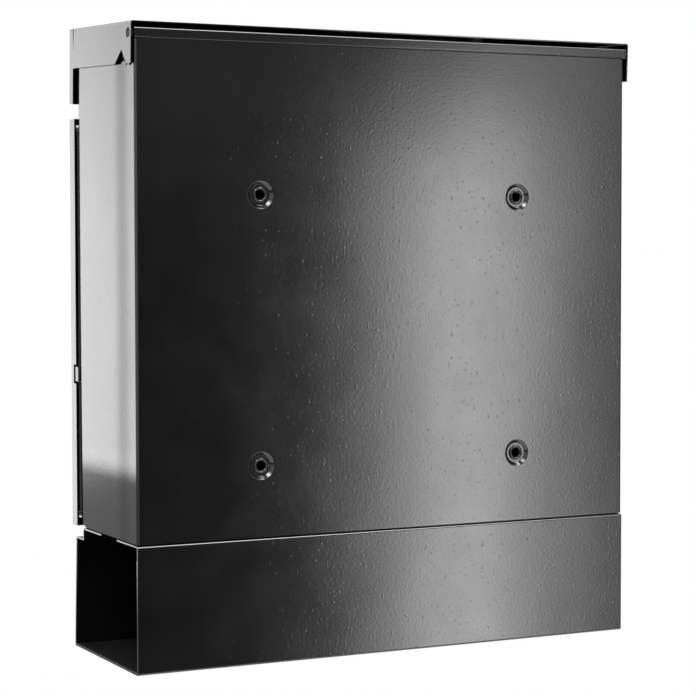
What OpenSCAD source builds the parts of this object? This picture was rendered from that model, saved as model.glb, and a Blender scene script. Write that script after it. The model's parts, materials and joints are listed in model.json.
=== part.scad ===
// Wall mounted mailbox with a lifting lid, a side-hinged front door with a cam lock,
// and an open-ended newspaper tube below the case.
// Frame: origin at the centre of the four wall holes, on the back panel's outer face.
// +X towards the side that the door is hinged on, +Y into the wall, +Z up.

/* [Case] */
// Width of the case across its side panels
case_w = 370; // [350:1:390]
// Height of the side panels, from the floor's underside
case_h = 332; // [330:1:334]
// Depth of the side panels at the top of the door opening
case_d_top = 106.6; // [106.2:0.1:106.7]
// Depth of the side panels at the floor
case_d_foot = 103.4; // [103:0.1:105]
// Height of the case floor's underside, from the origin
floor_z = -137; // [-138:0.5:-136]
// Thickness of the case sheet
case_t = 1; // [0.8:0.1:1]
// Outer bend radius of the case corners
case_bend_r = 2; // [1.5:0.1:3]
// Width of the flanges turned inwards at the front and top of the side panels
return_w = 12; // [8:1:14]

/* [Wall holes] */
// Distance between the wall holes, side to side
hole_pitch_x = 195; // [150:1:250]
// Distance between the wall holes, top to bottom
hole_pitch_z = 178; // [120:1:190]
// Radius of the screw hole in each grommet
hole_r = 3.2; // [2.5:0.1:3.6]
// Outer radius of the pressed cup round each hole
cup_r = 9.3; // [8:0.1:10]
// Depth of the pressed cup
cup_depth = 2; // [1.5:0.1:2.5]

/* [Lid] */
// Outer width of the lid
lid_w = 376.3; // [375.6:0.1:376.6]
// How far the lid sits to one side on its rod
lid_shift = -0.8; // [-0.9:0.1:-0.6]
// Angle between the resting lid and the level
lid_rest_angle = 2.3; // [2:0.1:3]
// Height of the rod's axis, from the origin
pin_z = 191.2; // [190.8:0.1:191.6]
// Depth of the rod's axis, from the wall plane
pin_d = 5.3; // [5:0.1:5.6]
// Height of the side skirts
skirt_h = 26.8; // [24:0.1:28]
// Height of the front skirt
front_skirt_h = 50.8; // [46:0.1:54]
// Length of the lid, back edge to front
lid_len = 117.8; // [116.5:0.1:118.2]
// Radius of the lid's hinge rod
pin_r = 2; // [1.5:0.1:2.2]
// Thickness of the lid and door sheet
skin_t = 0.8; // [0.6:0.1:0.8]

/* [Door] */
// Outer width of the door
door_w = 373.8; // [373.7:0.1:374.4]
// Height of the door's lower edge, from the origin
door_foot_z = -136; // [-136.5:0.1:-135]
// Height of the door's upper edge, from the origin
door_top_z = 142; // [140:0.1:143]
// Depth of the door's outer face, from the wall plane
front_d = 120.9; // [120.5:0.1:122]
// Depth of the flange turned back round the door
door_flange = 10.7; // [10:0.1:10.8]
// Depth of the hinge rod's axis, from the wall plane
axis_d = 110.1; // [110.1:0.1:110.5]
// Radius of the door's hinge rod
rod_r = 1.25; // [1:0.05:1.3]
// How far the hinge rod's axis lies inside the case's side
axis_inset = 1.2; // [1.2:0.1:1.5]
// Depth of the visible hinge knuckle, front to back
knuckle_len = 6.5; // [5.5:0.1:6.5]
// Height of the visible hinge knuckle
knuckle_h = 10; // [8:0.1:14]
// Height of the knuckle's lower end, from the origin
knuckle_z = -36.9; // [-60:0.1:60]

/* [Lock] */
// Sideways place of the lock, from the origin
lock_x = -158; // [-158:1:-150]
// Height of the lock, from the origin
lock_z = 3; // [-40:1:60]
// Radius of the lock's barrel
barrel_r = 9; // [8:0.1:9.5]
// Reach of the cam, from the lock's axis to its tip
cam_reach = 22; // [20:0.5:23]

/* [Newspaper tube] */
// Height of the tube, floor of the case to its own underside
tube_h = 83.7; // [70:0.1:100]
// Thickness of the tube's sheet
tube_t = 1; // [0.8:0.1:1.2]
// Depth of the tube's riser behind the front ledge
riser_d = 103.6; // [95:0.1:104]
// Depth of the tube's front at the ledge
tube_ledge_d = 118.3; // [116:0.1:121]
// Depth of the tube's front at its foot
tube_foot_d = 121.4; // [118:0.1:122]
// Height of the ledge below the case floor
ledge_drop = 7.4; // [5:0.1:9]

/* [Hidden] */
$fn = 48;

half_w = case_w / 2;
in_w = half_w - case_t;
shell_foot_z = floor_z + 0.9;
case_top_z = floor_z + case_h;
slant_top_z = door_top_z + 6;
slant = (case_d_top - case_d_foot) / (slant_top_z - floor_z);
back_top_z = pin_z - 4;
sleeve_half_h = 3.5;
// Front and foot of the relief behind the lid's notches.
relief_d = 32;
relief_z = pin_z - 17;
sleeve_d = pin_d + 3.7;
sleeve_x = [-186.9, half_w - 0.1];
hole_x = hole_pitch_x / 2;
hole_z = hole_pitch_z / 2;
steel_hole_r = hole_r + 1;

lid_half = lid_w / 2;
lid_over = 7.5;
lid_back = 5;
lid_front = lid_back - lid_len;
skirt_foot = lid_over - skirt_h;
front_foot = lid_over - front_skirt_h;
corner_return = 7.9;
bend_r = 1.5;
bush_r = 3.3;
bush_flange_t = 0.5;
// Notch in a side skirt's lower edge: apex, rear and front corners, as depth and height.
notch_apex = [-11.7, skirt_foot + 9];
notch_rear = [-2, skirt_foot];
notch_front = [-25.2, skirt_foot - 1];
leaf_w = 3;
leaf_tilt = 14;

door_half = door_w / 2;
door_rear_d = front_d - door_flange;
ear_top_z = door_top_z - 6.9;
ear_foot_z = door_foot_z + 9;
ear_t = 1.2;
axis_x = half_w - axis_inset;
lug_r = 2;
lug_gap = 0.4;
clip_t = 1.2;
rod_foot_z = ear_foot_z - 2 * lug_gap - ear_t - clip_t;
rod_top_z = ear_top_z + ear_t + clip_t;
knuckle_rear_d = axis_d - 2.7;
knuckle_x = [axis_x - 1.9, axis_x + 2.5];

cam_t = 2;
barrel_end_d = 102.4;
cam_front_d = barrel_end_d - 0.4;
lock_rim_r = barrel_r + 2.5;
seal_t = 0.6;
rim_t = 2.2;
plug_r = 6;
tail_r = 3;

tube_foot_z = floor_z - tube_h;
tube_top_z = floor_z;
ledge_z = floor_z - ledge_drop;
hem_w = 6;
hem_t = 0.8;
screw_x = 140;
screw_ds = [19, 86];
screw_r = 2;

rail_front_d = case_d_top - case_t - 0.4;
rail_foot_z = slant_top_z - 20;
rail_top_z = slant_top_z + 24;
slot_d = 85;

coat = [0.05, 0.05, 0.055];
steel = [0.62, 0.63, 0.65];
rubber = [0.09, 0.09, 0.09];

// Depth of the side panels' front edge at a height.
function edge_d(z) = case_d_top - slant * max(0, slant_top_z - z);

// Block between two opposite corners.
module block(lo, hi) {
    translate(lo) cube([hi[0] - lo[0], hi[1] - lo[1], hi[2] - lo[2]]);
}

// Flat rectangle with round corners.
module round_rect(x0, y0, x1, y1, r) {
    translate([x0 + r, y0]) square([x1 - x0 - 2 * r, y1 - y0]);
    translate([x0, y0 + r]) square([x1 - x0, y1 - y0 - 2 * r]);
    for (x = [x0 + r, x1 - r], y = [y0 + r, y1 - r]) translate([x, y]) circle(r = r);
}

// Side view outline, given as depth to the wall (y) and height (z), drawn out along X.
module along_x(x0, x1) {
    translate([x0, 0, 0]) rotate([90, 0, 90]) linear_extrude(x1 - x0) children();
}

// Round part whose axis runs front to back: its own height is the depth from the wall.
module about_y(x, z) {
    translate([x, 0, z]) rotate([90, 0, 0]) children();
}

// One copy on each side of the middle plane.
module both_sides() {
    children();
    mirror([1, 0, 0]) children();
}

// Every wall hole.
module each_hole() {
    for (x = [-hole_x, hole_x], z = [-hole_z, hole_z]) about_y(x, z) children();
}

// Every screw of the newspaper tube, drawn upwards from the underside of the tube's flange.
module each_screw() {
    for (x = [-screw_x, screw_x], d = screw_ds) translate([x, -d, tube_top_z - tube_t]) children();
}

// Outline of a side panel as seen from the side.
module side_outline() {
    // The top rear corner is cut away for the hinge sleeve and, further down, for the notch
    // leaves of the lid. The front foot corner is clipped.
    polygon([[1, shell_foot_z], [1, back_top_z], [-sleeve_d - 2, back_top_z],
        [-sleeve_d - 2, relief_z], [-relief_d, relief_z], [-relief_d, case_top_z],
        [-case_d_top, case_top_z], [-case_d_top, slant_top_z],
        [-edge_d(shell_foot_z + 1.8), shell_foot_z + 1.8], [6 - case_d_foot, shell_foot_z]]);
}

// Flange turned inwards along the front edge of a side panel.
module front_return() {
    z0 = shell_foot_z + 2;
    polygon([[-edge_d(z0), z0], [-case_d_top, slant_top_z], [-case_d_top, case_top_z - 0.2],
        [-case_d_top + case_t, case_top_z - 0.2], [-case_d_top + case_t, slant_top_z],
        [-edge_d(z0) + case_t, z0]]);
}

module cup_boss() {
    rotate_extrude() polygon([[0, 0.2], [cup_r + 0.8, 0.2], [cup_r + 0.8, case_t],
        [cup_r - 1.4, cup_depth + case_t], [0, cup_depth + case_t]]);
}

module cup_cavity() {
    rotate_extrude() polygon([[0, -1], [cup_r, -1], [cup_r, 0], [cup_r - 2.1, cup_depth],
        [0, cup_depth]]);
    cylinder(r = steel_hole_r, h = 8);
}

module case_shell() {
    color(coat) difference() {
        union() {
            // Back and sides, one folded sheet.
            intersection() {
                translate([0, 0, shell_foot_z]) linear_extrude(case_h) difference() {
                    round_rect(-half_w, -200, half_w, 0, case_bend_r);
                    round_rect(-in_w, -210, in_w, -case_t, case_bend_r - case_t);
                }
                along_x(-half_w - 1, half_w + 1) side_outline();
            }
            both_sides() along_x(in_w - return_w, in_w + 0.5) front_return();
            both_sides() block([in_w - return_w, -case_d_top, case_top_z - case_t],
                [in_w + 0.5, -relief_d, case_top_z]);
            // Small tab behind the hinge knuckle.
            block([in_w, 0.4 - knuckle_rear_d, knuckle_z],
                [half_w, 4 - case_d_foot, knuckle_z + knuckle_h]);
            each_hole() cup_boss();
        }
        each_hole() cup_cavity();
        // Way through the flange for the hinge knuckle's leaf.
        block([in_w - return_w - 1, -case_d_top - 1, knuckle_z - 2.5],
            [in_w, -case_d_foot + 4, knuckle_z + knuckle_h + 2.5]);
    }
}

// Rounded block that bounds the floor tray below and on its four sides, moved inwards by t.
module tray_block(t) {
    r = bend_r - t;
    rear_d = case_t + 0.6;
    front = case_d_foot - case_t - 0.1;
    top_z = floor_z + 20;
    intersection() {
        along_x(-in_w + t, in_w - t) round_rect(t - front, floor_z + t, -rear_d - t, top_z, r);
        translate([0, -rear_d, 0]) rotate([90, 0, 0]) linear_extrude(front)
            round_rect(t - in_w, floor_z + t, in_w - t, top_z, r);
    }
}

module case_floor() {
    flange_h = 12;
    color(coat) difference() {
        tray_block(0);
        tray_block(case_t);
        block([-half_w, -200, floor_z + flange_h], [half_w, 0, floor_z + 30]);
        each_screw() cylinder(r = screw_r + 0.1, h = 10);
    }
}

module front_rail() {
    d0 = rail_front_d;
    color(coat) along_x(-in_w + 0.2, in_w - 0.2) {
        translate([-d0, rail_foot_z]) square([case_t, rail_top_z - rail_foot_z]);
        translate([-d0, rail_top_z - case_t]) square([d0 - slot_d, case_t]);
        translate([-slot_d - case_t, rail_top_z - 9]) square([case_t, 9]);
        translate([-d0, rail_foot_z]) square([12, case_t]);
    }
}

module letter_guard() {
    tab_z = rail_top_z - 8.5;
    foot_z = rail_top_z - 60;
    foot_d = 45;
    color(coat) along_x(-in_w + 8, in_w - 8) {
        translate([-slot_d, tab_z]) square([case_t, rail_top_z - 1 - tab_z]);
        polygon([[-slot_d, tab_z], [-foot_d - 1.25, foot_z], [-foot_d, foot_z],
            [-slot_d + 1.25, tab_z]]);
    }
}

module lid_hinge_sleeve() {
    reach = in_w - 1.2;
    color(coat) difference() {
        union() {
            along_x(sleeve_x[0], sleeve_x[1])
                round_rect(-sleeve_d, pin_z - sleeve_half_h, 0, pin_z + sleeve_half_h, 1.2);
            // Leaf behind the back panel's upper edge.
            along_x(-reach, reach) translate([-2 * case_t, pin_z - 20]) square([case_t, 18]);
        }
        translate([-half_w - 5, -pin_d, pin_z]) rotate([0, 90, 0])
            cylinder(r = pin_r, h = case_w + 10);
    }
}

module lid_hinge_rod() {
    x0 = lid_shift - lid_half + 0.3;
    color(steel) translate([x0, -pin_d, pin_z]) rotate([0, 90, 0])
        cylinder(r = pin_r, h = lid_w - 0.6);
}

module wall_grommets() {
    out_r = steel_hole_r + 1.9;
    d1 = cup_depth;
    d2 = cup_depth + case_t;
    color(rubber) each_hole() rotate_extrude() polygon([[hole_r, d1 - 0.8], [hole_r + 0.4, d1 - 1.1],
        [out_r - 0.5, d1 - 1.1], [out_r, d1 - 0.6], [out_r, d1], [steel_hole_r, d1],
        [steel_hole_r, d2], [out_r, d2], [out_r, d2 + 0.7], [out_r - 0.4, d2 + 1.1],
        [hole_r, d2 + 1.1]]);
}

// Side view of the tube: outer outline moved inwards by t.
module tube_outline(t) {
    r = max(0.2, bend_r - t);
    hull() {
        translate([-tube_foot_d + t + r, tube_foot_z + t + r]) circle(r = r);
        translate([-tube_ledge_d + t + r, ledge_z - t - r]) circle(r = r);
        translate([-t - r, tube_foot_z + t + r]) circle(r = r);
        translate([-t - r, ledge_z - t - r]) circle(r = r);
    }
    round_rect(-riser_d + t, tube_foot_z + t, -t, tube_top_z - t, r);
}

module tube_wall(t) {
    difference() {
        tube_outline(0);
        tube_outline(t);
        // Gap between the two top flanges.
        translate([-68, tube_top_z - 3]) square([30, 5]);
    }
}

module newspaper_tube() {
    color(coat) difference() {
        union() {
            along_x(-half_w, half_w) tube_wall(tube_t);
            // Folded hem at each open end, on the walls below the ledge.
            both_sides() along_x(half_w - hem_w, half_w) difference() {
                tube_wall(tube_t + hem_t);
                translate([-200, ledge_z - tube_t - hem_t]) square([200, 20]);
            }
        }
        each_screw() translate([0, 0, -1]) cylinder(r = screw_r + 0.1, h = 10);
    }
}

module tube_screws() {
    color(steel) each_screw() {
        cylinder(r = screw_r, h = 7);
        rotate_extrude() polygon([[0, -2.2], [2.8, -2.2], [3.9, -1], [3.9, 0], [0, 0]]);
    }
}

module tube_nuts() {
    color(steel) each_screw() translate([0, 0, tube_t + case_t]) difference() {
        cylinder(r = 4.04, h = 3.2, $fn = 6);
        translate([0, 0, -1]) cylinder(r = screw_r, h = 6);
    }
}

module hinge_knuckle() {
    color(coat) difference() {
        union() {
            translate([0, 0, knuckle_z]) linear_extrude(knuckle_h) round_rect(knuckle_x[0],
                -knuckle_rear_d - knuckle_len, knuckle_x[1], -knuckle_rear_d, 1);
            block([in_w - 1.1, -axis_d + 1.5, knuckle_z], [in_w - 0.1, -85, knuckle_z + knuckle_h]);
        }
        translate([axis_x, -axis_d, knuckle_z - 1]) cylinder(r = rod_r + 0.05, h = knuckle_h + 2);
    }
}

// Lug on the case: plate from z0 upwards, with a leg between leg_z0 and leg_z1.
module pivot_lug(z0, leg_z0, leg_z1) {
    rear = edge_d(z0 + ear_t) + 0.05;
    difference() {
        union() {
            translate([0, 0, z0]) linear_extrude(ear_t) {
                translate([axis_x, -axis_d]) circle(r = lug_r);
                translate([half_w - 11, -axis_d - lug_r])
                    square([10.4 - axis_inset, axis_d + lug_r - rear]);
            }
            along_x(half_w - 11, in_w - 0.5) polygon([[-edge_d(leg_z0) - 0.05, leg_z0],
                [-edge_d(leg_z1) - 0.05, leg_z1], [-edge_d(leg_z1) - 1.05, leg_z1],
                [-edge_d(leg_z0) - 1.05, leg_z0]]);
        }
        translate([axis_x, -axis_d, z0 - 1]) cylinder(r = rod_r + 0.05, h = ear_t + 2);
    }
}

module pivot_lugs() {
    top_z = ear_top_z - lug_gap - ear_t;
    foot_z = ear_foot_z - lug_gap - ear_t;
    color(coat) {
        pivot_lug(top_z, top_z - 12, top_z + ear_t);
        pivot_lug(foot_z, foot_z, foot_z + 12);
    }
}

module lid_bumpers() {
    d = 92;
    h = 5.9;
    color(rubber) both_sides() translate([in_w - 6, -d, case_top_z]) rotate_extrude()
        polygon([[0, 0], [4, 0], [4, h - 0.6], [3.4, h], [0, h]]);
}

module door_buffers() {
    r = 4;
    tip_d = front_d - skin_t - 0.35;
    color(rubber) for (z = [-100, 100]) {
        base_d = edge_d(z + r) + 0.02;
        about_y(-in_w + 6, z) rotate_extrude() polygon([[0, base_d], [r, base_d],
            [r, tip_d - 0.6], [r - 0.6, tip_d], [0, tip_d]]);
    }
}

// Puts the lid, drawn about its rod, in its resting place.
module lid_place() {
    translate([lid_shift, -pin_d, pin_z]) rotate([-lid_rest_angle, 0, 0]) children();
}

// Rounded block that bounds the lid on its top, sides and front, moved inwards by t.
module lid_block(t) {
    r = bend_r - t;
    foot = front_foot - 10;
    intersection() {
        translate([0, 20 + t, 0]) rotate([90, 0, 0]) linear_extrude(20 - lid_front)
            round_rect(-lid_half + t, foot, lid_half - t, lid_over - t, r);
        along_x(-lid_half, lid_half) round_rect(lid_front + t, foot, 40, lid_over - t, r);
        translate([0, 0, foot]) linear_extrude(lid_over - foot)
            round_rect(-lid_half + t, lid_front + t, lid_half - t, 40, r);
    }
}

// Triangular notch in a skirt's lower edge.
module notch_outline() {
    polygon([notch_apex, notch_front, [notch_rear[0] + 1, skirt_foot - 1]]);
}

// Leaf bent in from the notch's rear edge.
module notch_leaf() {
    run = notch_apex - notch_rear;
    lean = atan2(-run[0], run[1]);
    translate([lid_half, notch_rear[0], notch_rear[1]]) rotate([lean, 0, 0])
        rotate([0, 0, -leaf_tilt]) translate([-skin_t - 0.15, -leaf_w, 1.2])
            cube([skin_t, leaf_w + 0.4, norm(run) - 3.4]);
}

module lid_cover() {
    seam_y = lid_front + corner_return;
    color(coat) lid_place() {
        difference() {
            lid_block(0);
            lid_block(skin_t);
            // Behind the back edge.
            block([-lid_half - 1, lid_back, -80], [lid_half + 1, 60, 20]);
            // Below the front skirt and below the side skirts.
            block([-lid_half - 1, lid_front - 1, -80], [lid_half + 1, 60, front_foot]);
            block([-lid_half - 1, seam_y, -80], [lid_half + 1, 60, skirt_foot]);
            // Open seam at the top of each front corner, wider at its top.
            both_sides() along_x(lid_half - 1, lid_half + 1) polygon([[seam_y, lid_over + 1],
                [seam_y + 1.9, lid_over + 1], [seam_y + 0.4, lid_over - 14],
                [seam_y, lid_over - 14]]);
            both_sides() along_x(lid_half - 2, lid_half + 1) notch_outline();
            translate([-lid_half - 1, 0, 0]) rotate([0, 90, 0])
                cylinder(r = bush_r, h = lid_w + 2);
        }
        both_sides() notch_leaf();
        // Hem folded back inside the front skirt's lower edge.
        block([-lid_half + 2, lid_front + skin_t - 0.1, front_foot],
            [lid_half - 2, lid_front + 2 * skin_t, front_foot + 8]);
    }
}

module lid_bushes() {
    color(rubber) lid_place() both_sides() translate([lid_half, 0, 0]) rotate([0, -90, 0])
        difference() {
            union() {
                translate([0, 0, 0.1]) cylinder(r = bush_r, h = skin_t);
                translate([0, 0, skin_t]) cylinder(r = bush_r + 1.2, h = bush_flange_t);
            }
            translate([0, 0, -1]) cylinder(r = pin_r + 0.06, h = 5);
        }
}

// Rounded block that bounds the door on its front and edges, moved inwards by t.
module door_block(t) {
    r = bend_r - t;
    intersection() {
        translate([0, 0, door_foot_z + t]) linear_extrude(door_top_z - door_foot_z - 2 * t)
            round_rect(-door_half + t, -front_d + t, door_half - t, -60, r);
        along_x(-door_half, door_half)
            round_rect(-front_d + t, door_foot_z + t, -60, door_top_z - t, r);
    }
}

module door_panel() {
    color(coat) difference() {
        door_block(0);
        door_block(skin_t);
        block([-door_half - 1, -door_rear_d, door_foot_z - 1], [door_half + 1, 0, door_top_z + 1]);
        about_y(lock_x, lock_z) cylinder(r = barrel_r + 0.1, h = front_d + 5);
        // Notch that clears the hinge knuckle.
        block([door_half - 4, -knuckle_rear_d - knuckle_len - 0.9, knuckle_z - 1.35],
            [door_half + 1, 0, knuckle_z + knuckle_h + 1.35]);
    }
}

module door_ears() {
    color(coat) for (z = [ear_foot_z, ear_top_z]) difference() {
        translate([0, 0, z]) linear_extrude(ear_t) {
            translate([axis_x, -axis_d]) circle(r = lug_r);
            // Corner cut off so that it clears the bend inside the door's edge.
            polygon([[axis_x - lug_r, -axis_d], [axis_x - lug_r, -front_d + skin_t],
                [door_half - skin_t - bend_r, -front_d + skin_t],
                [door_half - skin_t, -front_d + skin_t + bend_r], [door_half - skin_t, -axis_d]]);
        }
        translate([axis_x, -axis_d, z - 1]) cylinder(r = rod_r, h = ear_t + 2);
    }
}

module hinge_rod() {
    color(coat) translate([axis_x, -axis_d, rod_foot_z])
        cylinder(r = rod_r, h = rod_top_z - rod_foot_z);
}

module hinge_rod_clips() {
    color(steel) for (z = [rod_foot_z, rod_top_z - clip_t]) translate([axis_x, -axis_d, z])
        difference() {
            cylinder(r = lug_r, h = clip_t);
            translate([0, 0, -1]) cylinder(r = rod_r, h = clip_t + 2);
        }
}

module lock_body() {
    rim_d = front_d + seal_t;
    color(steel) about_y(lock_x, lock_z) difference() {
        union() {
            translate([0, 0, barrel_end_d]) cylinder(r = barrel_r, h = rim_d - barrel_end_d);
            rotate_extrude() polygon([[0, rim_d], [lock_rim_r, rim_d], [lock_rim_r, rim_d + rim_t - 0.6],
                [lock_rim_r - 0.6, rim_d + rim_t], [0, rim_d + rim_t]]);
        }
        translate([0, 0, barrel_end_d - 1]) cylinder(r = plug_r + 0.05, h = 40);
    }
}

module lock_seal() {
    color(rubber) about_y(lock_x, lock_z) translate([0, 0, front_d]) difference() {
        cylinder(r = lock_rim_r - 0.2, h = seal_t);
        translate([0, 0, -1]) cylinder(r = barrel_r, h = 4);
    }
}

module lock_nut() {
    nut_t = 3.8;
    color(steel) about_y(lock_x, lock_z) translate([0, 0, front_d - skin_t - nut_t]) difference() {
        cylinder(r = 13.86, h = nut_t, $fn = 6);
        translate([0, 0, -1]) cylinder(r = barrel_r, h = nut_t + 2);
    }
}

module lock_plug() {
    face_d = front_d + seal_t + rim_t - 0.2;
    color(steel) about_y(lock_x, lock_z) difference() {
        union() {
            translate([0, 0, barrel_end_d]) cylinder(r = plug_r, h = face_d - barrel_end_d);
            translate([0, 0, cam_front_d - cam_t - 4.2]) cylinder(r = tail_r, h = 8);
        }
        // Keyway.
        block([-0.9, -3.8, face_d - 8], [0.9, 3.8, face_d + 1]);
    }
}

module lock_cam() {
    color(steel) about_y(lock_x, lock_z) translate([0, 0, cam_front_d - cam_t]) difference() {
        linear_extrude(cam_t) {
            circle(r = 7.5);
            translate([-7, -cam_reach + 3]) square([14, cam_reach - 3]);
            translate([-4, -cam_reach]) square([8, cam_reach]);
            for (x = [-4, 4]) translate([x, -cam_reach + 3]) circle(r = 3);
        }
        translate([0, 0, -1]) cylinder(r = tail_r, h = cam_t + 2);
    }
}

module cam_nut() {
    nut_t = 3.2;
    color(steel) about_y(lock_x, lock_z) translate([0, 0, cam_front_d - cam_t - nut_t]) difference() {
        cylinder(r = 5.77, h = nut_t, $fn = 6);
        translate([0, 0, -1]) cylinder(r = tail_r, h = nut_t + 2);
    }
}

case_shell();
case_floor();
front_rail();
letter_guard();
lid_hinge_sleeve();
lid_hinge_rod();
wall_grommets();
newspaper_tube();
tube_screws();
tube_nuts();
hinge_knuckle();
pivot_lugs();
lid_bumpers();
door_buffers();
lid_cover();
lid_bushes();
door_panel();
door_ears();
hinge_rod();
hinge_rod_clips();
lock_body();
lock_seal();
lock_nut();
lock_plug();
lock_cam();
cam_nut();
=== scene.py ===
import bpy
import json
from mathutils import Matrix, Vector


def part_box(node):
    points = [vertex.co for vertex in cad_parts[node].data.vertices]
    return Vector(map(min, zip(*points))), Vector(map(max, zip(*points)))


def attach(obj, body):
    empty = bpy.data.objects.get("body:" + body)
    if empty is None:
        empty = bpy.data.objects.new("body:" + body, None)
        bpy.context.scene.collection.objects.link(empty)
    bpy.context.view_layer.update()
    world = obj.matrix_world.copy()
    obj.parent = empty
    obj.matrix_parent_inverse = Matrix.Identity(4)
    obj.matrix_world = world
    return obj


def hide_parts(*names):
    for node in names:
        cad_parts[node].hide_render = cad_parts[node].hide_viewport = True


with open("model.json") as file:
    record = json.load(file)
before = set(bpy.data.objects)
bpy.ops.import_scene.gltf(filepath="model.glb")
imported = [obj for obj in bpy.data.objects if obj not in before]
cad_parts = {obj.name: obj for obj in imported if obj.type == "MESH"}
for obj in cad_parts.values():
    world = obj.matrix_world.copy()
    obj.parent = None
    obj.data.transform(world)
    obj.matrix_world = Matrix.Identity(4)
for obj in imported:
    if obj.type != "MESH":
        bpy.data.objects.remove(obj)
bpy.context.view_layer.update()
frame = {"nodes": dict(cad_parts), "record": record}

import json
import math

import bmesh
import bpy
from mathutils import Matrix, Vector

MM = 0.001
MICRON = 0.000001
nodes = frame["nodes"]


# ---------------------------------------------------------------- node graphs

# Fractal noise spends most of its time between these values.
NOISE_LO = 0.3
NOISE_HI = 0.7


class Graph:
    """A small wrapper that builds shader nodes one expression at a time."""

    def __init__(self, tree):
        self.tree = tree
        tree.nodes.clear()

    def add(self, kind, **settings):
        n = self.tree.nodes.new(kind)
        for key, value in settings.items():
            setattr(n, key, value)
        return n

    def put(self, socket, value):
        """Links value to socket if it is a socket itself; None leaves the socket as it is."""
        if isinstance(value, bpy.types.NodeSocket):
            self.tree.links.new(value, socket)
        elif value is not None:
            socket.default_value = value

    def coords(self, name):
        return self.add("ShaderNodeTexCoord").outputs[name]

    def math(self, op, a, b=None):
        n = self.add("ShaderNodeMath", operation=op)
        for socket, value in zip(n.inputs, (a, b)):
            self.put(socket, value)
        return n.outputs[0]

    def product(self, *factors):
        total = factors[0]
        for factor in factors[1:]:
            total = self.math("MULTIPLY", total, factor)
        return total

    def split(self, vector):
        n = self.add("ShaderNodeSeparateXYZ")
        self.put(n.inputs[0], vector)
        return n.outputs

    def noise(self, vector, scale, detail=2.0, roughness=0.5):
        n = self.add("ShaderNodeTexNoise")
        self.put(n.inputs["Vector"], vector)
        self.put(n.inputs["Scale"], scale)
        self.put(n.inputs["Detail"], detail)
        self.put(n.inputs["Roughness"], roughness)
        return n.outputs["Fac"]

    def remap(self, value, from_lo, from_hi, to_lo, to_hi, smooth=False):
        n = self.add("ShaderNodeMapRange")
        if smooth:
            n.interpolation_type = "SMOOTHSTEP"
        for name, v in (("Value", value), ("From Min", from_lo), ("From Max", from_hi),
                        ("To Min", to_lo), ("To Max", to_hi)):
            self.put(n.inputs[name], v)
        return n.outputs["Result"]

    def spread(self, noise, lo, hi):
        """Noise stretched to run from lo to hi."""
        return self.remap(noise, NOISE_LO, NOISE_HI, lo, hi)

    def mix_color(self, factor, a, b):
        n = self.add("ShaderNodeMix", data_type="RGBA")
        self.put(n.inputs[0], factor)
        self.put(n.inputs[6], (*a, 1.0) if isinstance(a, tuple) else a)
        self.put(n.inputs[7], (*b, 1.0) if isinstance(b, tuple) else b)
        return n.outputs[2]

    def bump(self, height, distance, strength=1.0, normal=None):
        n = self.add("ShaderNodeBump")
        self.put(n.inputs["Strength"], strength)
        self.put(n.inputs["Distance"], distance)
        self.put(n.inputs["Height"], height)
        self.put(n.inputs["Normal"], normal)
        return n.outputs["Normal"]


def new_material(name, shape):
    """Material whose Principled shader is filled in by shape(graph, shader, object coordinates)."""
    mat = bpy.data.materials.new(name)
    mat.use_nodes = True
    g = Graph(mat.node_tree)
    out = g.add("ShaderNodeOutputMaterial")
    shader = g.add("ShaderNodeBsdfPrincipled")
    g.tree.links.new(shader.outputs[0], out.inputs["Surface"])
    shape(g, shader, g.coords("Object"))
    return mat


# ------------------------------------------------------------------ materials

COAT_IOR = 1.5
COAT_DARK = (0.0016, 0.0017, 0.0018)
COAT_LIGHT = (0.0026, 0.0027, 0.0028)
COAT_ROUGHNESS = (0.095, 0.115)
DUST_COLOR = (0.03, 0.03, 0.03)
DUST_COVER = 0.3
DUST_ROUGHNESS = 0.2
SETTLED_ROUGHNESS = 0.34

# The case's side sheets lean in below this height: the slope grows at LEAN_RATE over LEAN_REACH.
LEAN_START_Z = -0.0725
LEAN_RATE = 3.4
LEAN_REACH = 0.026
# They also bow near the rear bends, between these depths, with this slope on average.
BOW_FRONT_Y = -0.044
BOW_REAR_Y = -0.005
BOW_SLOPE = 0.0085


def coat_finish(g, shader, p, sheet=None):
    """Black semi-gloss powder coat with orange peel and a little dust, over the normal sheet."""
    wave = g.noise(p, scale=9, detail=1.0, roughness=0.4)
    coarse = g.noise(p, scale=240, roughness=0.55)
    peel = g.noise(p, scale=480, roughness=0.55)
    grain = g.noise(p, scale=1500, roughness=0.6)
    pimples = g.remap(g.noise(p, scale=450, detail=0.0), 0.70, 0.86, 0.0, 1.0)
    cloud = g.noise(p, scale=35, detail=3.0, roughness=0.55)
    dust = g.remap(g.noise(p, scale=2600, detail=1.0), 0.74, 0.80, 0.0, 1.0)

    n = sheet
    for height, microns in ((wave, 250), (coarse, 3.5), (peel, 12), (grain, 4), (pimples, 16)):
        n = g.bump(height, microns * MICRON, normal=n)
    g.put(shader.inputs["Normal"], n)

    shader.inputs["IOR"].default_value = COAT_IOR
    base = g.mix_color(g.spread(cloud, 0.0, 1.0), COAT_DARK, COAT_LIGHT)
    g.put(shader.inputs["Base Color"], g.mix_color(g.product(dust, DUST_COVER), base, DUST_COLOR))

    # Faces that look up are duller, from what settles on them.
    up = g.split(g.coords("Normal"))[2]
    settled = g.product(g.remap(up, 0.78, 0.96, 0.0, 1.0, smooth=True), SETTLED_ROUGHNESS)
    rough = g.math("ADD", g.spread(cloud, *COAT_ROUGHNESS), g.product(dust, DUST_ROUGHNESS))
    g.put(shader.inputs["Roughness"], g.math("ADD", rough, settled))


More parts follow.
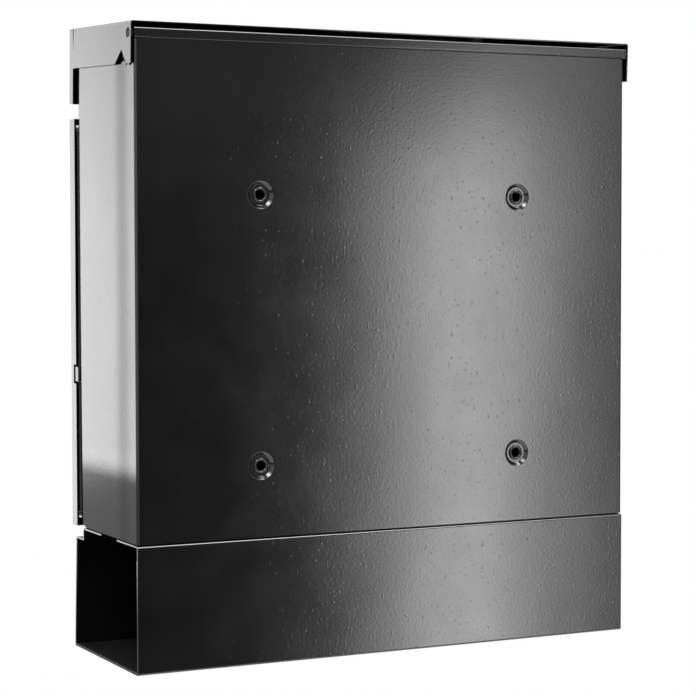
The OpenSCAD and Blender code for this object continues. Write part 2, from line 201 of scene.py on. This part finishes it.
def powder_coat(g, shader, p):
    """Coat on the folded case: its side sheets lean in at the foot and bow near the rear bends."""
    _, y, z = g.split(p)
    below = g.math("MAXIMUM", g.math("SUBTRACT", LEAN_START_Z, z), 0.0)
    curved = g.math("MINIMUM", below, LEAN_REACH)
    straight = g.math("SUBTRACT", below, curved)
    lean = g.math("ADD", g.product(curved, curved, -0.5 * LEAN_RATE),
                  g.product(straight, -LEAN_RATE * LEAN_REACH))
    # The bow's slope is a sine squared: none at either depth, steepest between them.
    t = g.remap(y, BOW_FRONT_Y, BOW_REAR_Y, 0.0, 1.0)
    ripple = g.product(g.math("SINE", g.product(t, 2 * math.pi)), -0.25 / math.pi)
    swell = g.math("ADD", g.product(t, 0.5), ripple)
    bow = g.product(swell, -2 * BOW_SLOPE * (BOW_REAR_Y - BOW_FRONT_Y))
    sideways = g.split(g.coords("Normal"))[0]
    on_sides = g.remap(g.math("ABSOLUTE", sideways), 0.3, 0.9, 0.0, 1.0)
    coat_finish(g, shader, p, g.bump(g.math("ADD", lean, bow), 1.0, strength=on_sides))


def clouded(g, shader, tone, colors, gloss, roughness, relief, microns):
    """Simple finish: tone mixes the two colours, gloss sets the roughness, relief the bump."""
    g.put(shader.inputs["Base Color"], g.mix_color(tone, *colors))
    g.put(shader.inputs["Roughness"], g.spread(gloss, *roughness))
    g.put(shader.inputs["Normal"], g.bump(relief, microns * MICRON))


def zinc_plate(g, shader, p):
    """Bright zinc-plated steel, cloudy and faintly brushed along X."""
    stretch = g.add("ShaderNodeMapping")
    g.put(stretch.inputs["Vector"], p)
    stretch.inputs["Scale"].default_value = (1.0, 12.0, 12.0)
    streaks = g.noise(stretch.outputs[0], scale=260, detail=3.0, roughness=0.6)
    cloud = g.noise(p, scale=160, detail=3.0, roughness=0.6)
    shader.inputs["Metallic"].default_value = 1.0
    colors = ((0.50, 0.51, 0.53), (0.66, 0.67, 0.69))
    clouded(g, shader, cloud, colors, streaks, (0.22, 0.38), streaks, microns=4)


def polished_chrome(g, shader, p):
    """Polished chrome with faint wiping haze."""
    haze = g.noise(p, scale=240, detail=3.0, roughness=0.6)
    shader.inputs["Metallic"].default_value = 1.0
    colors = ((0.62, 0.62, 0.63), (0.72, 0.72, 0.73))
    clouded(g, shader, haze, colors, haze, (0.06, 0.15), haze, microns=2)


def black_rubber(g, shader, p):
    """Moulded black rubber with a fine grain."""
    grain = g.noise(p, scale=3200, detail=3.0, roughness=0.6)
    cloud = g.noise(p, scale=180, detail=3.0)
    colors = ((0.003, 0.003, 0.003), (0.006, 0.006, 0.006))
    clouded(g, shader, cloud, colors, cloud, (0.18, 0.27), grain, microns=10)


def black_nylon(g, shader, p):
    """Moulded black nylon, satin."""
    grain = g.noise(p, scale=2400)
    cloud = g.noise(p, scale=120, detail=3.0)
    colors = ((0.011, 0.011, 0.012), (0.018, 0.018, 0.019))
    clouded(g, shader, cloud, colors, cloud, (0.28, 0.40), grain, microns=6)


def black_oxide(g, shader, p):
    """Dull black oxide on a drawn steel rod."""
    cloud = g.noise(p, scale=220, detail=3.0, roughness=0.6)
    shader.inputs["IOR"].default_value = 1.35
    colors = ((0.003, 0.003, 0.0032), (0.007, 0.007, 0.0072))
    clouded(g, shader, cloud, colors, cloud, (0.5, 0.62), cloud, microns=6)


# One material for each slot, and "flat_coat": the coat on the lid, the tube and the small parts.
MATERIALS = {
    "flat_coat": new_material("powder_coat_flat", coat_finish),
    "coated_steel": new_material("black_powder_coat", powder_coat),
    "zinc_steel": new_material("bright_zinc", zinc_plate),
    "lock_chrome": new_material("polished_chrome", polished_chrome),
    "rubber": new_material("black_rubber", black_rubber),
    "bush_plastic": new_material("black_nylon", black_nylon),
    "dark_steel": new_material("black_oxide", black_oxide),
}
SLOT_OF = {s["node"]: s["material_slot"] for s in frame["record"]["subparts"]}
BODY_OF = {n: b for b, names in frame["record"]["behaviour"]["bodies"].items() for n in names}


# --------------------------------------------------------------------- meshes

SMOOTH_BELOW = math.radians(40)
FLAT_BELOW = math.radians(0.3)
ROUND_ABOVE = math.radians(28)
FILLET_STEPS = 6
WELD = 1e-6


def finish_of(node):
    """Blender material of a node: the folded case has its own version of the coat."""
    slot = SLOT_OF[node]
    return MATERIALS["flat_coat" if slot == "coated_steel" and node != "case_shell" else slot]


def finished(bm, name, node):
    """Turns bm into a smooth shaded piece that replaces node, on its body and with its slot."""
    bmesh.ops.recalc_face_normals(bm, faces=bm.faces)
    for f in bm.faces:
        f.smooth = True
    for e in bm.edges:
        e.smooth = not e.is_manifold or e.calc_face_angle(0) < SMOOTH_BELOW
    mesh = bpy.data.meshes.new(name)
    bm.to_mesh(mesh)
    bm.free()
    if "custom_normal" in mesh.attributes:
        mesh.attributes.remove(mesh.attributes["custom_normal"])
    obj = bpy.data.objects.new(name, mesh)
    bpy.context.scene.collection.objects.link(obj)
    mesh.materials.clear()
    mesh.materials.append(finish_of(node))
    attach(obj, BODY_OF[node])
    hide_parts(node)
    mod = obj.modifiers.new("weighted_normals", "WEIGHTED_NORMAL")
    mod.keep_sharp = True
    mod.weight = 100


def clean_copy(node):
    """The node's solid with its triangles joined back into flat faces."""
    bm = bmesh.new()
    bm.from_mesh(nodes[node].data)
    bmesh.ops.remove_doubles(bm, verts=bm.verts, dist=WELD)
    bmesh.ops.dissolve_limit(bm, angle_limit=FLAT_BELOW, verts=bm.verts, edges=bm.edges)
    return bm


def round_edges(bm, radius, wanted=None, segments=3):
    """Rounds the sharp edges, all of them or those that wanted(edge) picks."""
    sharp = [e for e in bm.edges if e.is_manifold and e.calc_face_angle(0) > ROUND_ABOVE]
    if wanted:
        sharp = [e for e in sharp if wanted(e)]
    bmesh.ops.bevel(bm, geom=sharp, offset=radius, offset_type="OFFSET", segments=segments,
                    profile=0.5, affect="EDGES", clamp_overlap=True)


def filleted(corners):
    """Outline through corners (r, h, fillet radius), each fillet as an arc of a few points."""
    path = []
    for i, (r, h, fillet) in enumerate(corners):
        here = Vector((r, h))
        if fillet == 0:
            path.append(here)
            continue
        back = (Vector(corners[i - 1][:2]) - here).normalized()
        on = (Vector(corners[(i + 1) % len(corners)][:2]) - here).normalized()
        half = back.angle(on) / 2
        centre = here + (back + on).normalized() * (fillet / math.sin(half))
        start = here + back * (fillet / math.tan(half)) - centre
        sweep = start.angle_signed(here + on * (fillet / math.tan(half)) - centre)
        for k in range(FILLET_STEPS + 1):
            path.append(centre + Matrix.Rotation(-sweep * k / FILLET_STEPS, 2) @ start)
    return path


def lathe(bm, origin, axis, corners, segments=96):
    """Adds the ring that corners (r, h, fillet) in mm sweep round axis, h along it from origin."""
    path = [p * MM for p in filleted(corners)]
    axis = Vector(axis)
    u = axis.orthogonal().normalized()
    v = axis.cross(u)
    rings = []
    for k in range(segments):
        turn = 2 * math.pi * k / segments
        out = u * math.cos(turn) + v * math.sin(turn)
        rings.append([bm.verts.new(Vector(origin) + axis * p.y + out * p.x) for p in path])
    for k in range(segments):
        a, b = rings[k], rings[(k + 1) % segments]
        for i in range(len(path)):
            j = (i + 1) % len(path)
            bm.faces.new((a[i], a[j], b[j], b[i]))
    bmesh.ops.remove_doubles(bm, verts=[w for ring in rings for w in ring], dist=WELD / 10)


def lathed_piece(node, spots, axis, corners, segments):
    """One piece of equal turned parts that replaces node, with one part at each spot."""
    bm = bmesh.new()
    for spot in spots:
        lathe(bm, spot, axis, corners, segments)
    finished(bm, node + "_turned", node)


# Wall holes, from the record's own pattern.
holes = next(m for m in frame["record"]["mounts"] if m["name"] == "wall_holes")["dims"]
HOLE_X = holes["spacing_x_mm"] / 2 * MM
HOLE_Z = holes["spacing_y_mm"] / 2 * MM
HOLE_SPOTS = [Vector((x, 0, z)) for x in (-HOLE_X, HOLE_X) for z in (-HOLE_Z, HOLE_Z)]
INWARD = (0, -1, 0)

# Pressed cup round each hole, in mm: a disc of sheet with a conical dish and a hole in its floor.
SHEET = 1.0
CUP_DISC_R = 10.8
CUP_MOUTH_R = 9.15
CUP_FLOOR_R = 7.0
CUP_HOLE_R = 4.25
CUP_DEPTH = 2.0
CUP_BEND = 0.7
CUP_CORNERS = [
    (CUP_DISC_R, 0, 0), (CUP_MOUTH_R, 0, CUP_BEND), (CUP_FLOOR_R, CUP_DEPTH, CUP_BEND),
    (CUP_HOLE_R, CUP_DEPTH, 0.2), (CUP_HOLE_R, CUP_DEPTH + SHEET, 0.2),
    (6.5, CUP_DEPTH + SHEET, 0.4), (8.4, SHEET, 0.5), (CUP_DISC_R, SHEET, 0),
]
# Rubber grommet in the cup's hole, in mm: two lips with a groove for the sheet between them.
GROMMET_BORE_R = 3.2
GROMMET_GROOVE_R = 4.2
GROMMET_REAR_R = 5.22
GROMMET_FRONT_R = 6.1
GROMMET_REAR = 0.7
GROMMET_FRONT = 4.1
GROMMET_CORNERS = [
    (GROMMET_BORE_R, GROMMET_FRONT, 0.2), (GROMMET_BORE_R, GROMMET_REAR, 1.0),
    (GROMMET_REAR_R, GROMMET_REAR, 1.0), (GROMMET_REAR_R, CUP_DEPTH, 0),
    (GROMMET_GROOVE_R, CUP_DEPTH, 0), (GROMMET_GROOVE_R, CUP_DEPTH + SHEET, 0),
    (GROMMET_FRONT_R, CUP_DEPTH + SHEET, 0), (GROMMET_FRONT_R, GROMMET_FRONT, 0.4),
]
# The drill that clears the CAD's own cups reaches from behind the wall plane to inside the case.
DRILL_REAR = -5
DRILL_FRONT = 8
DRILL_CORNERS = [(0, DRILL_REAR, 0), (CUP_DISC_R, DRILL_REAR, 0),
                 (CUP_DISC_R, DRILL_FRONT, 0), (0, DRILL_FRONT, 0)]
SHELL_EDGE = 0.22
RIM_MARGIN = 1


def work_object(name, bm):
    """Temporary object made from bm, in the scene."""
    bmesh.ops.recalc_face_normals(bm, faces=bm.faces)
    mesh = bpy.data.meshes.new(name)
    bm.to_mesh(mesh)
    bm.free()
    obj = bpy.data.objects.new(name, mesh)
    bpy.context.scene.collection.objects.link(obj)
    return obj


def away_from_holes(edge):
    reach = (CUP_DISC_R + RIM_MARGIN) * MM
    return all((edge.verts[0].co - spot).length >= reach for spot in HOLE_SPOTS)


def case_shell():
    """The folded back and sides, with the four pressed cups turned afresh so that they are round."""
    cutter = bmesh.new()
    for spot in HOLE_SPOTS:
        lathe(cutter, spot, INWARD, DRILL_CORNERS)
    blank = work_object("shell_blank", clean_copy("case_shell"))
    drill = work_object("shell_drill", cutter)
    cut = blank.modifiers.new("cut", "BOOLEAN")
    cut.object = drill
    cut.operation = "DIFFERENCE"
    cut.solver = "EXACT"
    bpy.context.view_layer.update()
    depsgraph = bpy.context.evaluated_depsgraph_get()
    bm = bmesh.new()
    bm.from_mesh(bpy.data.meshes.new_from_object(blank.evaluated_get(depsgraph)))
    for obj in (blank, drill):
        bpy.data.objects.remove(obj)
    bmesh.ops.remove_doubles(bm, verts=bm.verts, dist=WELD)
    round_edges(bm, SHELL_EDGE * MM, away_from_holes)
    for spot in HOLE_SPOTS:
        lathe(bm, spot, INWARD, CUP_CORNERS)
    finished(bm, "case_shell_soft", "case_shell")


# Newspaper tube, in mm: edge radii, and how far below its top the hemmed ends stop.
HEM_EDGE = 0.85
TUBE_EDGE = 0.2
HEM_DROP = 10.2
END_TOLERANCE = 1e-5


def newspaper_tube():
    """The tube: its hemmed ends are folds, so they are fully round."""
    bm = clean_copy("newspaper_tube")
    _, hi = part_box("newspaper_tube")
    hem_top = hi[2] - HEM_DROP * MM

    def at_end(e):
        return all(abs(abs(v.co.x) - hi[0]) < END_TOLERANCE for v in e.verts)

    def hemmed(e):
        return at_end(e) and max(v.co.z for v in e.verts) < hem_top

    def plain(e):
        return not at_end(e) or min(v.co.z for v in e.verts) > hem_top

    round_edges(bm, HEM_EDGE * MM, hemmed, segments=5)
    round_edges(bm, TUBE_EDGE * MM, plain)
    finished(bm, "newspaper_tube_soft", "newspaper_tube")


# Edge radii in mm of the sheets and small parts that need nothing else.
EDGE_RADIUS = {
    "case_floor": 0.22, "front_rail": 0.22, "letter_guard": 0.22, "lid_hinge_sleeve": 0.2,
    "hinge_knuckle": 0.2, "pivot_lugs": 0.2, "lid_cover": 0.18, "door_panel": 0.18,
    "door_ears": 0.2, "lock_cam": 0.3,
}


def middle(node):
    lo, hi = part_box(node)
    return (Vector(lo) + Vector(hi)) / 2


def bush_rings():
    """Dished nylon bushes in the lid's two side holes."""
    bore, neck, flange = 2.06, 3.3, 4.5
    dish, tip, seat, head = 0.9, 0.15, 0.7, 1.2
    corners = [(bore, dish, 0), (neck, tip, 0.1), (neck, seat, 0),
               (flange, seat, 0.1), (flange, head, 0.1), (bore, head, 0.1)]
    bm = bmesh.new()
    lo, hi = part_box("lid_bushes")
    spot = middle("lid_bushes")
    lathe(bm, (hi[0], spot.y, spot.z), (-1, 0, 0), corners)
    lathe(bm, (lo[0], spot.y, spot.z), (1, 0, 0), corners)
    finished(bm, "lid_bushes_turned", "lid_bushes")


def turned_rod(node, axis_index, radius):
    """A straight rod with rounded ends; its radius is in mm."""
    end_radius = 0.5
    lo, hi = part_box(node)
    length = (hi[axis_index] - lo[axis_index]) / MM
    start = middle(node)
    start[axis_index] = lo[axis_index]
    axis = Vector((0, 0, 0))
    axis[axis_index] = 1
    corners = [(0, 0, 0), (radius, 0, end_radius), (radius, length, end_radius), (0, length, 0)]
    lathed_piece(node, [start], axis, corners, segments=48)


for node_name, edge_radius in EDGE_RADIUS.items():
    sheet_part = clean_copy(node_name)
    round_edges(sheet_part, edge_radius * MM)
    finished(sheet_part, node_name + "_soft", node_name)
case_shell()
newspaper_tube()
lathed_piece("wall_grommets", HOLE_SPOTS, INWARD, GROMMET_CORNERS, segments=96)
bush_rings()
turned_rod("lid_hinge_rod", 0, 2.0)
turned_rod("hinge_rod", 2, 1.25)

for node_name, carried_over in nodes.items():
    carried_over.data.materials.clear()
    carried_over.data.materials.append(finish_of(node_name))


# ---------------------------------------------------------------------- stage

FLOOR_Z = -1.5
FLOOR_RADIUS = 3.2


def studio_floor():
    """Plain pale floor, as far below the box as a box hung at chest height has it."""
    bm = bmesh.new()
    bmesh.ops.create_circle(bm, cap_ends=True, segments=96, radius=FLOOR_RADIUS)
    mesh = bpy.data.meshes.new("floor")
    bm.to_mesh(mesh)
    bm.free()
    floor = bpy.data.objects.new("floor", mesh)
    floor.location.z = FLOOR_Z
    bpy.context.scene.collection.objects.link(floor)

    def pale(g, shader, p):
        cloud = g.noise(p, scale=3, detail=3.0)
        color = g.mix_color(cloud, (0.80, 0.80, 0.80), (0.86, 0.86, 0.86))
        g.put(shader.inputs["Base Color"], color)
        shader.inputs["Roughness"].default_value = 0.7

    mesh.materials.append(new_material("pale_floor", pale))


# Directions in degrees from +Y towards -X: what the side face and the back face reflect.
SIDE_AZIMUTH = -161
BACK_AZIMUTH = 24


def studio_world():
    """White studio seen by the camera; what the coat reflects is darker, with soft bright panels."""
    world = bpy.data.worlds.new("studio")
    bpy.context.scene.world = world
    world.use_nodes = True
    g = Graph(world.node_tree)
    out = g.add("ShaderNodeOutputWorld")
    x, y, z = g.split(g.coords("Generated"))
    in_degrees = 180 / math.pi
    azimuth = g.product(g.math("ARCTAN2", g.product(x, -1.0), y), in_degrees)
    elevation = g.product(g.math("ARCSINE", z), in_degrees)
    level = g.math("SQRT", g.math("ADD", g.product(x, x), g.product(y, y)))

    def bell(value, centre, left, right):
        """Smooth bump about centre, with its own width on each side."""
        d = g.math("SUBTRACT", value, centre)
        on_right = g.math("GREATER_THAN", d, 0.0)
        width = g.math("ADD", left, g.product(on_right, right - left))
        q = g.math("DIVIDE", d, width)
        return g.math("EXPONENT", g.product(q, q, -1.0))

    def ramp(value, start, end, before, after):
        """Runs smoothly from before to after as value goes from start to end."""
        return g.remap(value, start, end, before, after, smooth=True)

    def band(value, start, full, waning, end):
        """Rises from start to full and falls from waning to end."""
        return g.product(ramp(value, start, full, 0.0, 1.0), ramp(value, waning, end, 1.0, 0.0))

    def toward(degrees):
        """Cosine and signed angle, in degrees, of the direction's offset from an azimuth."""
        ax, ay = -math.sin(math.radians(degrees)), math.cos(math.radians(degrees))
        along = g.math("ADD", g.product(x, ax), g.product(y, ay))
        across = g.math("SUBTRACT", g.product(y, ax), g.product(x, ay))
        offset = g.product(g.math("ARCSINE", g.math("DIVIDE", across, level)), in_degrees)
        return g.math("DIVIDE", along, level), offset

    side_cos, side_off = toward(SIDE_AZIMUTH)
    back_cos, _ = toward(BACK_AZIMUTH)

    # Backdrop that the side faces see: brightest at eye level, fading towards the floor.
    backdrop = g.product(
        3.9,
        bell(side_off, centre=0, left=14, right=14),
        g.remap(elevation, 0.5, 6.0, 1.0, 0.66),
        band(elevation, start=-99, full=-98, waning=16, end=34),
        ramp(elevation, -9.9, -7.3, 0.11, 1.0),
        ramp(side_off, 1.0, 4.0, 1.0, 0.55),
        g.remap(side_cos, 0.0, 0.5, 0.0, 1.0),
    )
    # Narrow strip light behind the camera and to its right.
    strip_light = g.product(
        9.9,
        bell(azimuth, centre=29.45, left=1.9, right=1.75),
        band(elevation, start=-16, full=-12.5, waning=1.2, end=5.4),
    )
    # The broad soft panel round it.
    broad_panel = g.product(
        2.9,
        bell(azimuth, centre=31.0, left=2.1, right=3.0),
        band(elevation, start=-16, full=-12.5, waning=6.5, end=12),
    )
    # The rest of the room, dim, and clear of what the back and the side face see.
    room = g.product(
        1.3,
        ramp(side_cos, 0.80, 0.96, 1.0, 0.0),
        ramp(back_cos, 0.60, 0.92, 1.0, 0.0),
        band(elevation, start=-24, full=-2, waning=8, end=40),
    )
    # Small softbox high up behind the camera's left, which picks out the cups and grommets.
    cup_light = g.product(
        24.0,
        bell(azimuth, centre=-45, left=18, right=18),
        bell(elevation, centre=56, left=13, right=13),
    )
    # Softbox high up on the far side, which lights the bends along the top edges.
    top_light = g.product(
        26.0,
        bell(azimuth, centre=38, left=14, right=18),
        band(elevation, start=34, full=44, waning=62, end=74),
    )
    # Faint light all round, stronger above eye level and again higher up.
    glow = g.math("ADD", ramp(elevation, 0, 4, 0.07, 0.30), ramp(elevation, 9, 22, 0.0, 0.45))
    for part in (backdrop, strip_light, broad_panel, room, cup_light, top_light):
        glow = g.math("ADD", glow, part)

    white = (1.0, 1.0, 1.0, 1.0)
    seen = g.add("ShaderNodeBackground")
    g.put(seen.inputs["Color"], white)
    lit = g.add("ShaderNodeBackground")
    g.put(lit.inputs["Color"], white)
    g.put(lit.inputs["Strength"], glow)
    choose = g.add("ShaderNodeMixShader")
    g.put(choose.inputs[0], g.add("ShaderNodeLightPath").outputs["Is Camera Ray"])
    g.put(choose.inputs[1], lit.outputs[0])
    g.put(choose.inputs[2], seen.outputs[0])
    g.put(out.inputs["Surface"], choose.outputs[0])


def camera():
    """Photograph's view: from behind, to the door-hinge side, a little above the middle."""
    focal_in_widths = 3.0762
    yaw, pitch, roll = math.radians(26.52), math.radians(2.78), math.radians(-0.09)
    place = Vector((0.6732, 1.2808, 0.0567))
    level_part = math.cos(pitch)
    ahead = Vector((-math.sin(yaw) * level_part, -math.cos(yaw) * level_part, -math.sin(pitch)))
    right = ahead.cross(Vector((0, 0, 1))).normalized()
    up = right.cross(ahead)
    side = right * math.cos(roll) + up * math.sin(roll)
    top = up * math.cos(roll) - right * math.sin(roll)
    turn = Matrix((side, top, -ahead)).transposed().to_4x4()
    data = bpy.data.cameras.new("camera")
    data.sensor_width = 36.0
    data.lens = focal_in_widths * data.sensor_width
    data.clip_start, data.clip_end = 0.05, 60.0
    cam = bpy.data.objects.new("camera", data)
    cam.matrix_world = Matrix.Translation(place) @ turn
    bpy.context.scene.collection.objects.link(cam)
    bpy.context.scene.camera = cam


studio_floor()
studio_world()
camera()
bpy.context.scene.view_settings.view_transform = "Standard"
